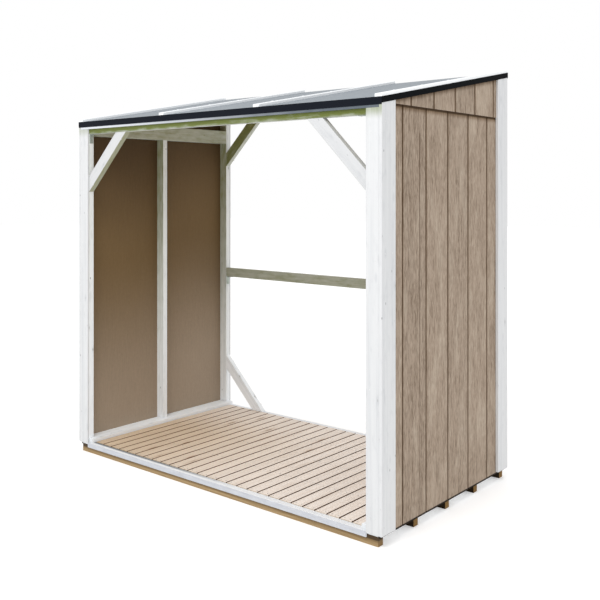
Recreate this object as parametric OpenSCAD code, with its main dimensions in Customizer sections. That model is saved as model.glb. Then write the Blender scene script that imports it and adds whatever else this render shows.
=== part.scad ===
// Lean-to log store: five bearers, a slatted floor, two framed and clad side walls,
// open front and back with braced beams, and a single-pitch roof that rises to the back.
// X runs across the width, the front faces -Y, +Z is up.
// The origin is the middle of the footprint at ground level.

/* [Overall] */
// Width across the outer faces of the corner boards
width = 2200; // [1600:10:3000]
// Depth across the outer faces of the corner boards
depth = 1216; // [900:2:1800]
// Height of the roof surface at the front edge
eave_h = 1979; // [1600:1:2400]
// Roof pitch in degrees, rising to the back
roof_pitch = 10.8; // [4:0.1:20]

/* [Floor] */
// Width of one bearer
bearer_w = 38; // [28:1:75]
// Height of one bearer
bearer_h = 45; // [34:1:100]
// Thickness of the floor boards
floor_t = 18; // [12:1:32]
// Nominal width of one floor board
floor_board_w = 67; // [45:1:145]
// Gap between floor boards
floor_gap = 6; // [3:0.5:12]
// Depth of the nosing's flange over the bearer
sill_flange = 28; // [15:1:36]
// How far the nosing lip hangs below the bearer's top
sill_drop = 13; // [5:1:25]
// How far the nosing's top lies below the top of the floor
sill_step = 3; // [1:0.5:6]
// Clearance between the floor boards and the nosing behind them
floor_end_gap = 2; // [1:0.5:5]

/* [Wall frames] */
// Depth of a stud, measured across the wall
stud_w = 60; // [45:1:95]
// Thickness of a stud, measured along the wall
stud_t = 34; // [19:1:45]
// Width of the sole plate, measured across the wall
plate_w = 90; // [60:1:140]
// Height of the sole plate
plate_h = 38; // [28:1:60]
// Height of the top rail
top_rail_h = 88; // [60:1:140]
// How far the top rail's underside lies below the roof at the front
top_rail_drop = 71; // [60:1:120]

/* [Cladding and corner boards] */
// Thickness of the side cladding
panel_t = 10; // [6:0.5:19]
// How far the side cladding hangs below the top of the bearers
panel_drop = 4; // [1:1:20]
// Gap from the top of the lower cladding sheet to the roof at the front
gable_gap = 8; // [4:1:30]
// How far the gable sheet stands proud of the sheet below it
gable_proud = 4; // [2:0.5:5]
// Thickness of the corner boards on the side walls
board_t = 16; // [12:0.5:25]
// Thickness of the boards on the front and rear faces: corner boards, fascias and nosings
face_t = 10; // [8:0.5:20]
// Width of the corner boards on the side walls
side_board_w = 110; // [70:1:150]
// Height of the corner boards above the bearers
board_lift = 8; // [2:1:20]

/* [Beams and braces] */
// Thickness of the beams, front to back
beam_t = 34; // [28:1:75]
// Height of the front beam at its front face
front_beam_h = 62; // [45:1:120]
// Height of the rear beam at its rear face
rear_beam_h = 113; // [60:1:150]
// Height of the rear middle rail
mid_rail_h = 60; // [45:1:95]
// Height of the rear middle rail's underside above the ground
mid_rail_z = 962; // [700:1:1200]
// Face width of a brace
brace_w = 66; // [45:1:95]
// Thickness of a brace, front to back
brace_t = 34; // [28:1:60]
// Length of a brace's outer edge along the post and along the beam
brace_leg = 345; // [250:1:450]

/* [Roof] */
// Thickness of the roof deck, measured upright
roof_deck_t = 12; // [9:1:22]
// Thickness of the roof sheet, measured upright
roof_sheet_t = 3; // [2:0.5:6]
// Width of a roof rib
rib_w = 38; // [25:1:60]
// Height of a roof rib
rib_h = 15; // [8:1:30]
// Distance from the roof's middle line to the inner ribs' middle lines
rib_offset = 352; // [250:1:450]
// How far the white fascia hangs below the roof deck
fascia_drop = 31; // [20:1:60]
// Thickness of the metal edge trims
trim_t = 2; // [1:0.5:4]
// Height of the drip edges at the front and the rear
drip_h = 34; // [20:1:60]
// Height of the verge trims at the sides
verge_h = 28; // [18:1:50]

/* [Angle brackets] */
// Length of each leg
bracket_leg = 55; // [35:1:90]
// Width of a bracket
bracket_w = 24; // [15:1:28]
// Thickness of the bracket's metal
bracket_t = 3; // [2:0.5:5]

/* [Hidden] */

BEARERS = 5;
half_w = width / 2;
half_d = depth / 2;
// Outer faces of the wall frames and of the front and rear frames
frame_x = half_w - board_t - panel_t;
frame_y = half_d - face_t;
// Inner faces of the studs and of the sole plates
stud_x = frame_x - stud_w;
plate_x = frame_x - plate_w;
plate_top = bearer_h + plate_h;
floor_top = bearer_h + floor_t;
sill_top = floor_top - sill_step;
slope = tan(roof_pitch);
roof_t = roof_deck_t + roof_sheet_t;
board_bottom = bearer_h + board_lift;
top_rail_z = roof_under(-frame_y) - top_rail_drop;
panel_top = roof_under(-frame_y) - gable_gap;
front_beam_z = roof_under(-frame_y) - front_beam_h;
rear_beam_z = roof_under(frame_y) - rear_beam_h;
front_fascia_z = roof_under(-half_d) - fascia_drop;
rear_fascia_z = roof_under(half_d) - fascia_drop;
floor_span = 2 * plate_x;
floor_count = round(floor_span / (floor_board_w + floor_gap));
floor_pitch = floor_span / floor_count;

// Colours
WHITE = [0.93, 0.93, 0.92];
CLAD = [0.66, 0.59, 0.51];
DECK = [0.80, 0.69, 0.56];
PINE = [0.69, 0.57, 0.39];
DARK = [0.10, 0.11, 0.14];
SLATE = [0.57, 0.61, 0.65];
STEEL = [0.45, 0.48, 0.45];

// Height of the roof surface and of the roof deck's underside at a distance y from the middle
function roof_top(y) = eave_h + slope * (y + half_d);
function roof_under(y) = roof_top(y) - roof_t;

// Box between two corners
module block(low, high) {
    translate(low) cube(high - low);
}

// Prism along X from x0 to x1, with its outline given as [y, z] points
module profile_x(x0, x1, outline) {
    translate([x0, 0, 0])
        rotate([90, 0, 90])
            linear_extrude(height = x1 - x0) polygon(outline);
}

// Prism along Y from y0 to y1, with its outline given as [x, z] points
module profile_y(y0, y1, outline) {
    translate([0, y1, 0])
        rotate([90, 0, 0])
            linear_extrude(height = y1 - y0) polygon(outline);
}

// Piece that stands on z0 and whose top is cut to the slope of the roof
module to_roof(x0, x1, y0, y1, z0) {
    profile_x(x0, x1, [[y0, z0], [y1, z0], [y1, roof_under(y1)], [y0, roof_under(y0)]]);
}

// Layer of the roof between two depths below the roof surface
module roof_layer(x0, x1, y0, y1, low, high) {
    profile_x(x0, x1, [
        [y0, roof_top(y0) - low], [y1, roof_top(y1) - low],
        [y1, roof_top(y1) - high], [y0, roof_top(y0) - high]
    ]);
}

// Mirrors its children to the left side when side is -1
module on_side(side) {
    if (side < 0) mirror([1, 0, 0]) children();
    else children();
}

module bearer(index) {
    pitch = (2 * frame_y - bearer_w) / (BEARERS - 1);
    y0 = -frame_y + (index - 1) * pitch;
    color(PINE) block([-frame_x, y0, 0], [frame_x, y0 + bearer_w, bearer_h]);
}

module floor_boards() {
    y_end = frame_y - sill_flange - floor_end_gap;
    for (i = [0 : floor_count - 1]) {
        x0 = -plate_x + i * floor_pitch + floor_gap / 2;
        color(DECK) block([x0, -y_end, bearer_h], [x0 + floor_pitch - floor_gap, y_end, floor_top]);
    }
}

// Nosing across the front of the floor: a lip in front of the bearer and a flange on top of it
module floor_nosing() {
    color(WHITE) {
        block([-stud_x, -half_d, bearer_h - sill_drop], [stud_x, -frame_y, sill_top]);
        block([-plate_x, -frame_y, bearer_h], [plate_x, -frame_y + sill_flange, sill_top]);
    }
}

module front_sill() { floor_nosing(); }
module rear_sill() { mirror([0, 1, 0]) floor_nosing(); }

module sole_plate(side) {
    color(WHITE) on_side(side) block([plate_x, -frame_y, bearer_h], [frame_x, frame_y, plate_top]);
}

module front_stud(side) {
    color(WHITE) on_side(side) to_roof(stud_x, frame_x, -frame_y, -frame_y + stud_t, plate_top);
}

module mid_stud(side) {
    color(WHITE) on_side(side)
        block([stud_x, -stud_t / 2, plate_top], [frame_x, stud_t / 2, top_rail_z]);
}

module rear_stud(side) {
    color(WHITE) on_side(side) to_roof(stud_x, frame_x, frame_y - stud_t, frame_y, plate_top);
}

// Rail along the top of a wall frame, its front corner cut to the roof where the roof is lower
module top_rail(side) {
    y0 = -frame_y + stud_t;
    y1 = frame_y - stud_t;
    z1 = top_rail_z + top_rail_h;
    color(WHITE) on_side(side) intersection() {
        block([stud_x, y0, top_rail_z], [frame_x, y1, z1]);
        to_roof(stud_x - 1, frame_x + 1, y0 - 1, y1 + 1, top_rail_z - 1);
    }
}

module cladding(side) {
    color(CLAD) on_side(side)
        block([frame_x, -frame_y, bearer_h - panel_drop], [frame_x + panel_t, frame_y, panel_top]);
}

// Gable sheet: its middle stands proud between the corner boards
module gable_cladding(side) {
    y_edge = half_d - side_board_w;
    color(CLAD) on_side(side) {
        to_roof(frame_x, frame_x + panel_t, -frame_y, frame_y, panel_top);
        to_roof(frame_x + panel_t, frame_x + panel_t + gable_proud, -y_edge, y_edge, panel_top);
    }
}

// Corner boards on the front or the rear face, one at each end
module face_boards(y0, y1, z_top) {
    for (side = [-1, 1])
        color(WHITE) on_side(side) block([stud_x, y0, board_bottom], [half_w - board_t, y1, z_top]);
}

module front_face_boards() { face_boards(-half_d, -frame_y, front_fascia_z); }
module rear_face_boards() { face_boards(frame_y, half_d, rear_fascia_z); }

// Corner boards on a side wall, one at the front and one at the rear
module side_boards(side) {
    color(WHITE) on_side(side) {
        to_roof(half_w - board_t, half_w, -half_d, -half_d + side_board_w, board_bottom);
        to_roof(half_w - board_t, half_w, half_d - side_board_w, half_d, board_bottom);
    }
}

module front_beam() {
    color(WHITE) to_roof(-stud_x, stud_x, -frame_y, -frame_y + beam_t, front_beam_z);
}

module rear_beam() {
    color(WHITE) to_roof(-stud_x, stud_x, frame_y - beam_t, frame_y, rear_beam_z);
}

module rear_mid_rail() {
    color(WHITE)
        block([-stud_x, frame_y - stud_t, mid_rail_z], [stud_x, frame_y, mid_rail_z + mid_rail_h]);
}

// Diagonal in the corner between a stud and a level face at z; up is 1 below a beam, -1 on the floor
module brace(side, y0, z, up) {
    cut = brace_w * sqrt(2);
    color(WHITE) on_side(side) profile_y(y0, y0 + brace_t, [
        [stud_x, z - up * brace_leg],
        [stud_x, z - up * (brace_leg - cut)],
        [stud_x - brace_leg + cut, z],
        [stud_x - brace_leg, z]
    ]);
}

module front_brace(side) { brace(side, -frame_y, front_beam_z, 1); }
module rear_upper_brace(side) { brace(side, frame_y - brace_t, rear_beam_z, 1); }
module rear_lower_brace(side) { brace(side, frame_y - brace_t, floor_top, -1); }

module front_fascia() {
    color(WHITE) to_roof(-half_w + board_t, half_w - board_t, -half_d, -frame_y, front_fascia_z);
}

module rear_fascia() {
    color(WHITE) to_roof(-half_w + board_t, half_w - board_t, frame_y, half_d, rear_fascia_z);
}

module roof_deck() {
    color(PINE) roof_layer(-half_w, half_w, -half_d, half_d, roof_t, roof_sheet_t);
}

module roof_sheet() {
    color(SLATE) roof_layer(-half_w, half_w, -half_d, half_d, roof_sheet_t, 0);
}

module roof_ribs() {
    for (x = [-half_w + rib_w / 2, -rib_offset, rib_offset, half_w - rib_w / 2])
        color(WHITE) roof_layer(x - rib_w / 2, x + rib_w / 2, -half_d, half_d, 0, -rib_h);
}

module front_drip_edge() {
    z1 = roof_top(-half_d);
    color(DARK) block([-half_w, -half_d - trim_t, z1 - drip_h], [half_w, -half_d, z1]);
}

module rear_drip_edge() {
    z1 = roof_top(half_d);
    color(DARK) block([-half_w, half_d, z1 - drip_h], [half_w, half_d + trim_t, z1]);
}

module verge_trims() {
    for (side = [-1, 1])
        color(DARK) on_side(side)
            roof_layer(half_w, half_w + trim_t, -half_d - trim_t, half_d + trim_t, verge_h, 0);
}

// Angle bracket in the corner between a stud and the underside of a beam at z
module angle_bracket(side, y0, z) {
    color(STEEL) on_side(side) profile_y(y0, y0 + bracket_w, [
        [stud_x, z], [stud_x, z - bracket_leg], [stud_x - bracket_t, z - bracket_leg],
        [stud_x - bracket_t, z - bracket_t], [stud_x - bracket_leg, z - bracket_t],
        [stud_x - bracket_leg, z]
    ]);
}

module angle_brackets() {
    inset = (stud_t - bracket_w) / 2;
    for (side = [-1, 1]) {
        angle_bracket(side, -frame_y + inset, front_beam_z);
        angle_bracket(side, frame_y - stud_t + inset, rear_beam_z);
        angle_bracket(side, frame_y - stud_t + inset, mid_rail_z);
    }
}

bearer(1);  // bearer_1
bearer(2);  // bearer_2
bearer(3);  // bearer_3
bearer(4);  // bearer_4
bearer(5);  // bearer_5
floor_boards();
front_sill();
rear_sill();
sole_plate(-1);  // left_sole_plate
front_stud(-1);  // left_front_stud
mid_stud(-1);  // left_mid_stud
rear_stud(-1);  // left_rear_stud
top_rail(-1);  // left_top_rail
sole_plate(1);  // right_sole_plate
front_stud(1);  // right_front_stud
mid_stud(1);  // right_mid_stud
rear_stud(1);  // right_rear_stud
top_rail(1);  // right_top_rail
cladding(-1);  // left_cladding
gable_cladding(-1);  // left_gable_cladding
cladding(1);  // right_cladding
gable_cladding(1);  // right_gable_cladding
front_face_boards();
rear_face_boards();
side_boards(-1);  // left_side_boards
side_boards(1);  // right_side_boards
front_beam();
rear_beam();
rear_mid_rail();
front_brace(-1);  // front_left_brace
front_brace(1);  // front_right_brace
rear_upper_brace(-1);  // rear_left_upper_brace
rear_upper_brace(1);  // rear_right_upper_brace
rear_lower_brace(-1);  // rear_left_lower_brace
rear_lower_brace(1);  // rear_right_lower_brace
front_fascia();
rear_fascia();
roof_deck();
roof_sheet();
roof_ribs();
front_drip_edge();
rear_drip_edge();
verge_trims();
angle_brackets();
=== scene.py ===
"""Looks for a lean-to log store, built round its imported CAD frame.

The frame gives every place and size.  Timber is planed and rounded from the CAD pieces, and what
repeats (floor boards, wall boards, roof planks, ribs and screws) is laid by Geometry Nodes.
Every piece of wood carries its own board coordinates, so its grain runs along it.
"""

from __future__ import annotations

import logging
import math
import random
from collections.abc import Iterable, Mapping, Sequence
from dataclasses import dataclass, field
from enum import Enum

import bmesh
import bpy
from mathutils import Matrix, Vector

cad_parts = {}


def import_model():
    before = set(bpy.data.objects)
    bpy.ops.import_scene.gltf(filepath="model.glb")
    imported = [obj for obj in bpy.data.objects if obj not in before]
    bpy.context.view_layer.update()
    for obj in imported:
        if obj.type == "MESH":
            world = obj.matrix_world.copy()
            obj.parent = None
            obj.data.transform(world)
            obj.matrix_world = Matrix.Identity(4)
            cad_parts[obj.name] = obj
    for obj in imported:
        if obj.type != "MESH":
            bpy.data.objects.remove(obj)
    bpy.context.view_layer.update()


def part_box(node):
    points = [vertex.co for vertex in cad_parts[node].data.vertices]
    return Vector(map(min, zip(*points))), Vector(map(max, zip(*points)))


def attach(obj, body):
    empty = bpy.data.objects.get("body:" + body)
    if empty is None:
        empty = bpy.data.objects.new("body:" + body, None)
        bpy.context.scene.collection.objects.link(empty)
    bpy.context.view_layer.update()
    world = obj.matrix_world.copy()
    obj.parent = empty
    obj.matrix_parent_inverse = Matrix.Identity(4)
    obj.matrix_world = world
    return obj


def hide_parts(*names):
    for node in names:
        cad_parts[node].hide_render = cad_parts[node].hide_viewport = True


LOG = logging.getLogger("log_store")
BODY = "root"
GRAIN = "grain"
TONE = "tone"
END_CUT = "end_cut"
FACING = "facing"
AIM = "aim"
SPOT = "spot"
MM = 0.001
FAR = 9.0
BEFORE = -1.0
MERGE_GAP = 1e-5
SHARP_EDGE = 0.15
FLAT_TURN = 0.01
GRAIN_SHIFT = 37.0
END_FACE = 0.8

Colour = tuple[float, float, float]


def paint(red: int, green: int, blue: int) -> Colour:
    """Turns a colour of 0 to 255 on a display into the linear colour that shaders use.

    Args:
        red: Red, 0 to 255.
        green: Green, 0 to 255.
        blue: Blue, 0 to 255.

    Returns:
        The linear colour.
    """
    linear = []
    for channel in (red, green, blue):
        share = channel / 255
        linear.append(share / 12.92 if share <= 0.04045 else ((share + 0.055) / 1.055) ** 2.4)
    return (linear[0], linear[1], linear[2])


class Run(Enum):
    """The direction in which a board's grain runs."""

    ACROSS = Vector((1, 0, 0))
    DEEP = Vector((0, 1, 0))
    UPRIGHT = Vector((0, 0, 1))
    LEANS_LEFT = Vector((-1, 0, 1)).normalized()
    LEANS_RIGHT = Vector((1, 0, 1)).normalized()


class Mark(Enum):
    """How long and how wide the marks of each wood pattern are, in metres."""

    BRUSHED = (0.9, 0.022)
    BRISTLE = (0.30, 0.0035)
    BLOTCH = (0.07, 0.022)
    LONG_BLOTCH = (0.12, 0.02)
    PAINTED_KNOT = (0.13, 0.050)
    SPECK = (0.075, 0.030)
    BAND = (0.8, 0.018)
    FIBRE = (0.22, 0.0022)
    KNOT = (0.34, 0.06)
    DOT = (0.009, 0.0045)
    BEND = (0.55, 0.12)
    PRESSED_FINE = (0.034, 0.0042)
    PRESSED_NARROW = (0.12, 0.0085)
    PRESSED_BROAD = (0.16, 0.035)
    PATCH = (0.30, 0.08)
    FLECK = (0.035, 0.006)
    LINING = (0.12, 0.010)
    SHORT_LINING = (0.02, 0.012)


# ------------------------------------------------------------------ node graphs


class Term:
    """A node socket that can stand in a Python expression."""

    def __init__(self, graph: Graph, socket: bpy.types.NodeSocket) -> None:
        """Wraps a socket of a graph."""
        self.graph = graph
        self.socket = socket

    def maths(self, operation: str, *others: Term | float) -> Term:
        """Adds one Math node.

        Args:
            operation: The Math node's operation.
            others: The node's further values.

        Returns:
            The node's result.
        """
        inputs = dict(enumerate((self, *others)))
        return self.graph.term("ShaderNodeMath", {"operation": operation}, inputs)

    def reflected(self, operation: str, other: float) -> Term:
        """Adds a Math node whose first value is a number."""
        return self.graph.term("ShaderNodeMath", {"operation": operation}, {0: other, 1: self})

    def __add__(self, other: Term | float) -> Term:
        """Sum."""
        return self.maths("ADD", other)

    def __radd__(self, other: float) -> Term:
        """Sum with a number first."""
        return self.reflected("ADD", other)

    def __sub__(self, other: Term | float) -> Term:
        """Difference."""
        return self.maths("SUBTRACT", other)

    def __rsub__(self, other: float) -> Term:
        """Difference with a number first."""
        return self.reflected("SUBTRACT", other)

    def __mul__(self, other: Term | float) -> Term:
        """Product."""
        return self.maths("MULTIPLY", other)

    def __rmul__(self, other: float) -> Term:
        """Product with a number first."""
        return self.reflected("MULTIPLY", other)

    def __truediv__(self, other: Term | float) -> Term:
        """Quotient."""
        return self.maths("DIVIDE", other)

    def __rtruediv__(self, other: float) -> Term:
        """Quotient with a number first."""
        return self.reflected("DIVIDE", other)

    def __pow__(self, other: Term | float) -> Term:
        """Power."""
        return self.maths("POWER", other)

    def __abs__(self) -> Term:
        """Size without sign."""
        return self.maths("ABSOLUTE")

    def above(self, limit: float) -> Term:
        """Gives 1 above the limit and 0 below it."""
        return self.maths("GREATER_THAN", limit)

    def clamped(self) -> Term:
        """Keeps the value between 0 and 1."""
        return self.maths("MINIMUM", 1.0).maths("MAXIMUM", 0.0)

    def rises(self, low: float, high: float) -> Term:
        """Goes smoothly from 0 at low to 1 at high, or falls where low is the greater.

        Args:
            low: Where the result is 0.
            high: Where the result is 1.

        Returns:
            The eased value.
        """
        settings = {"interpolation_type": "SMOOTHSTEP", "clamp": True}
        if low <= high:
            return self.graph.term("ShaderNodeMapRange", settings, {0: self, 1: low, 2: high})
        falling = {0: self, 1: high, 2: low, 3: 1.0, 4: 0.0}
        return self.graph.term("ShaderNodeMapRange", settings, falling)


Plug = Term | bpy.types.NodeSocket | float | int | str | Sequence[float] | bpy.types.ID


class Graph:
    """A node tree with one short way to add nodes."""

    def __init__(self, tree: bpy.types.NodeTree) -> None:
        """Starts on a node tree."""
        self.tree = tree

    def node(
        self,
        kind: str,
        settings: Mapping[str, object] | None = None,
        inputs: Mapping[str | int, Plug] | None = None,
    ) -> bpy.types.Node:
        """Adds a node, sets it up and plugs in its sockets.

        Args:
            kind: The node's type name.
            settings: Its properties; "stops" holds a ramp's positions and colours.
            inputs: Values or sockets by socket name or number.

        Returns:
            The new node.
        """
        made = self.tree.nodes.new(kind)
        for key, setting in (settings or {}).items():
            if key == "stops":
                self.set_stops(made.color_ramp, setting)
            else:
                setattr(made, key, setting)
        for key, plug in (inputs or {}).items():
            self.plug(made.inputs[key], plug)
        return made

    def term(
        self,
        kind: str,
        settings: Mapping[str, object] | None = None,
        inputs: Mapping[str | int, Plug] | None = None,
        output: str | int = 0,
    ) -> Term:
        """Adds a node and returns one of its outputs.

        Args:
            kind: The node's type name.
            settings: Its properties.
            inputs: Values or sockets by socket name or number.
            output: The output's name or number.

        Returns:
            The output.
        """
        return Term(self, self.node(kind, settings, inputs).outputs[output])

    def plug(self, socket: bpy.types.NodeSocket, plug: Plug) -> None:
        """Links a socket to another, or sets its value.

        Args:
            socket: The input that is set.
            plug: A value, a term or an output.
        """
        if isinstance(plug, Term):
            self.tree.links.new(plug.socket, socket)
        elif isinstance(plug, bpy.types.NodeSocket):
            self.tree.links.new(plug, socket)
        else:
            socket.default_value = plug

    def split(self, vector: Term) -> tuple[Term, Term, Term]:
        """Splits a vector into its three numbers."""
        parts = self.node("ShaderNodeSeparateXYZ", inputs={0: vector}).outputs
        return Term(self, parts[0]), Term(self, parts[1]), Term(self, parts[2])

    @staticmethod
    def set_stops(ramp: bpy.types.ColorRamp, stops: Sequence[tuple[float, Colour]]) -> None:
        """Gives a colour ramp its stops.

        Args:
            ramp: The ramp.
            stops: Each stop's position and colour.
        """
        while len(ramp.elements) < len(stops):
            ramp.elements.new(1.0)
        for element, (position, colour) in zip(ramp.elements, stops):
            element.position = position
            element.color = (*colour, 1.0)


class Sheet(Graph):
    """A material's graph."""

    def __init__(self, name: str) -> None:
        """Makes an empty material.

        Args:
            name: The material's name.
        """
        self.material = bpy.data.materials.new(name)
        self.material.use_nodes = True
        super().__init__(self.material.node_tree)
        self.tree.nodes.clear()

    def attribute(self, name: str, output: str) -> Term:
        """Reads a piece's own attribute."""
        return self.term("ShaderNodeAttribute", {"attribute_name": name}, output=output)

    def place(self) -> Term:
        """Gives Object coordinates, which are the frame's own."""
        return self.term("ShaderNodeTexCoord", output="Object")

    def stretch(self, vector: Term, factors: Sequence[float]) -> Term:
        """Multiplies a vector by three factors."""
        inputs = {0: vector, 1: factors}
        return self.term("ShaderNodeVectorMath", {"operation": "MULTIPLY"}, inputs)

    def noise(self, vector: Term, scale: float, detail: float = 3.0, rough: float = 0.55) -> Term:
        """Adds a noise texture.

        Args:
            vector: Where it is read.
            scale: Its scale.
            detail: How many octaves it has.
            rough: How strong the finer octaves are.

        Returns:
            The noise, from 0 to 1.
        """
        inputs = {"Vector": vector, "Scale": scale, "Detail": detail, "Roughness": rough}
        return self.term("ShaderNodeTexNoise", inputs=inputs)

    def mix(self, low: Term | Colour, high: Term | Colour, share: Term | float) -> Term:
        """Blends two colours.

        Args:
            low: The colour at share 0.
            high: The colour at share 1.
            share: How much of the second colour there is.

        Returns:
            The blended colour.
        """
        plugs: dict[str | int, Plug] = {0: share}
        for index, colour in ((6, low), (7, high)):
            plugs[index] = colour if isinstance(colour, Term) else (*colour, 1.0)
        settings = {"data_type": "RGBA", "clamp_factor": True}
        return self.term("ShaderNodeMix", settings, plugs, output=2)

    def stain_and_shade(self, colour: Term, by: Colour, share: Term | float) -> Term:
        """Multiplies a colour by another one, for a real stain and for painted shade.

        Args:
            colour: The colour underneath.
            by: The colour of the stain or of the painted shade.
            share: How much of it there is.

        Returns:
            The multiplied colour.
        """
        settings = {"data_type": "RGBA", "blend_type": "MULTIPLY", "clamp_factor": True}
        return self.term("ShaderNodeMix", settings, {0: share, 6: colour, 7: (*by, 1.0)}, output=2)

    def dim(self, colour: Term, level: Term) -> Term:
        """Multiplies a colour by a level."""
        inputs = {0: colour, "Scale": level}
        return self.term("ShaderNodeVectorMath", {"operation": "SCALE"}, inputs)

    def bump(self, height: Term, depth: float, strength: float = 1.0) -> Term:
        """Turns a height of 0 to 1 into a bumped normal.

        Args:
            height: The height.
            depth: How deep it is, in metres.
            strength: How strongly it is felt.

        Returns:
            The normal.
        """
        inputs = {"Strength": strength, "Distance": depth, "Height": height}
        return self.term("ShaderNodeBump", inputs=inputs)

    def finish(self, inputs: Mapping[str | int, Plug]) -> bpy.types.Material:
        """Ends the material in one Principled shader.

        Args:
            inputs: The shader's values or sockets.

        Returns:
            The material.
        """
        shader = self.term("ShaderNodeBsdfPrincipled", inputs=inputs)
        self.node("ShaderNodeOutputMaterial", inputs={"Surface": shader})
        return self.material


# ------------------------------------------------------------------ finishes


class Wood:
    """Grain, knots and end grain, read from a board's own coordinates."""

    def __init__(self, sheet: Sheet) -> None:
        """Reads the board's attributes.

        Args:
            sheet: The material's graph.
        """
        self.sheet = sheet
        self.grain = sheet.attribute(GRAIN, "Vector")
        self.tone = sheet.attribute(TONE, "Fac")
        self.end = sheet.attribute(END_CUT, "Fac")

    def facing(self) -> tuple[Term, Term]:
        """Gives how far a planed face looks forwards, and how far down."""
        _, y, z = self.sheet.split(self.sheet.attribute(FACING, "Vector"))
        return (y * -1.0).clamped(), (z * -1.0).clamped()

    def scaled(self, mark: Mark) -> Term:
        """Gives the board's coordinates in steps of a pattern's marks."""
        length, width = mark.value
        return self.sheet.stretch(self.grain, (1 / length, 1 / width, 1 / width))

    def streaks(self, mark: Mark, detail: float = 3.0) -> Term:
        """Gives streaks along the grain.

        Args:
            mark: The pattern.
            detail: How many octaves it has.

        Returns:
            The streaks, from 0 to 1.
        """
        return self.sheet.noise(self.scaled(mark), 1.0, detail)

    def rings(self, pitch: float, wander: float) -> Term:
        """Gives growth rings round a pith that lies off the board.

        Args:
            pitch: The distance between rings, in metres.
            wander: How far the rings wander along the board, in metres.

        Returns:
            The rings, from 0 to 1.
        """
        _, side, depth = self.sheet.split(self.grain)
        side = side + (self.tone - 0.5) * 0.09
        depth = depth + 0.030 + self.tone * 0.02
        bend = self.streaks(Mark.BEND, 2.0) * wander
        radius = (side * side + depth * depth).maths("SQRT") + bend
        return (radius * (math.tau / pitch)).maths("SINE") * 0.5 + 0.5

    def knots(self, mark: Mark, size: float, bare: float) -> Term:
        """Gives round knots, spread at random.

        Args:
            mark: The pattern, whose size is one knot's cell.
            size: A knot's radius as a share of its cell.
            bare: The share of cells that has no knot.

        Returns:
            1 inside a knot and 0 away from it.
        """
        inputs = {"Vector": self.scaled(mark), "Scale": 1.0, "Randomness": 0.85}
        cell = self.sheet.node("ShaderNodeTexVoronoi", inputs=inputs)
        near = Term(self.sheet, cell.outputs["Distance"]).rises(size, size * 0.45)
        pick, _, _ = self.sheet.split(Term(self.sheet, cell.outputs["Color"]))
        return near * pick.above(bare)


@dataclass(frozen=True)
class PaintedTimber:
    """White paint over knotty softwood, with an olive tint that is painted shade where the piece is
    shaded.
    """

    name: str
    white: Colour
    grey: Colour
    # tint is the colour of painted shade; the fields down to tint_left give where it grows and how
    # strongly each facing shows it
    tint: Colour
    tint_from: float = FAR
    tint_to: float = 2 * FAR
    on_front: float = 0.0
    on_underside: float = 0.0
    on_sides: float = 0.0
    tint_depth: float = FAR
    tint_left: float = 1.0
    knot_depth: float = 0.45
    roughness: float = 0.62
    knot: Colour = paint(150, 150, 146)
    speck: Colour = paint(118, 120, 122)
    seam: float | None = None
    seam_shadow: Colour = paint(104, 110, 117)

    def material(self) -> bpy.types.Material:
        """Builds the material.

        Returns:
            The material.
        """
        sheet = Sheet(self.name)
        wood = Wood(sheet)
        broad = wood.streaks(Mark.BRUSHED, 2.0)
        fine = wood.streaks(Mark.BRISTLE)
        blotch = wood.streaks(Mark.BLOTCH, 4.0)
        knots = wood.knots(Mark.PAINTED_KNOT, size=0.10, bare=0.50)
        halo = wood.knots(Mark.PAINTED_KNOT, size=0.26, bare=0.50)
        worn = broad.rises(0.42, 0.78) * 0.35 + fine.rises(0.5, 0.8) * 0.30
        worn = worn + blotch.rises(0.52, 0.75) * 0.35
        colour = sheet.mix(self.white, self.grey, worn)
        colour = sheet.mix(colour, self.grey, halo * 0.45)
        colour = sheet.mix(colour, self.knot, knots * self.knot_depth)
        specks = wood.knots(Mark.SPECK, size=0.12, bare=0.60)
        colour = sheet.mix(colour, self.speck, specks * self.knot_depth)
        colour = sheet.mix(colour, self.grey, wood.end * 0.8)
        # painted shade: an olive tint standing for shade and bounce light, by height and facing
        colour = sheet.mix(colour, self.tint, self.shade_share(sheet, wood, blotch, fine))
        # painted shadow: a grey line along the back of the sill's top, where the floor boards' ends
        # meet it
        if self.seam is not None:
            across, deep, _ = sheet.split(sheet.place())
            line = deep.rises(self.seam - 22 * MM, self.seam - 13 * MM) * (1.0 - deep.above(0.0))
            line = line * across.rises(0.25, -0.35)
            colour = sheet.mix(colour, self.seam_shadow, line * (0.7 + 0.3 * broad))
        relief = fine * 0.5 + broad * 0.3 - knots * 0.5
        rough = self.roughness + fine * 0.12 - 0.06
        return sheet.finish(
            {
                "Base Color": colour,
                "Roughness": rough,
                "Specular IOR Level": 0.3,
                "Normal": sheet.bump(relief, 0.6 * MM, 0.5),
            }
        )

    def shade_share(self, sheet: Sheet, wood: Wood, blotch: Term, fine: Term) -> Term:
        """Gives how strongly the tint of painted shade shows, by height and by the way a face looks.

        Args:
            sheet: The material's graph.
            wood: The board's coordinates.
            blotch: Coarse streaks.
            fine: Fine streaks.

        Returns:
            The tint's share, patchy along the grain.
        """
        front, under = wood.facing()
        most = self.on_sides + front * (self.on_front - self.on_sides)
        most = most + under * (self.on_underside - self.on_sides)
        across, deep, height = sheet.split(sheet.place())
        level = height.rises(self.tint_from, self.tint_to) * (1.0 - deep.above(self.tint_depth))
        if self.tint_left < 1.0:
            level = level * (self.tint_left + (1.0 - self.tint_left) * across.rises(-1.0, 1.0))
        patchy = 0.45 + 0.65 * blotch + 0.45 * fine
        return (level * most * patchy).clamped()


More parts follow.
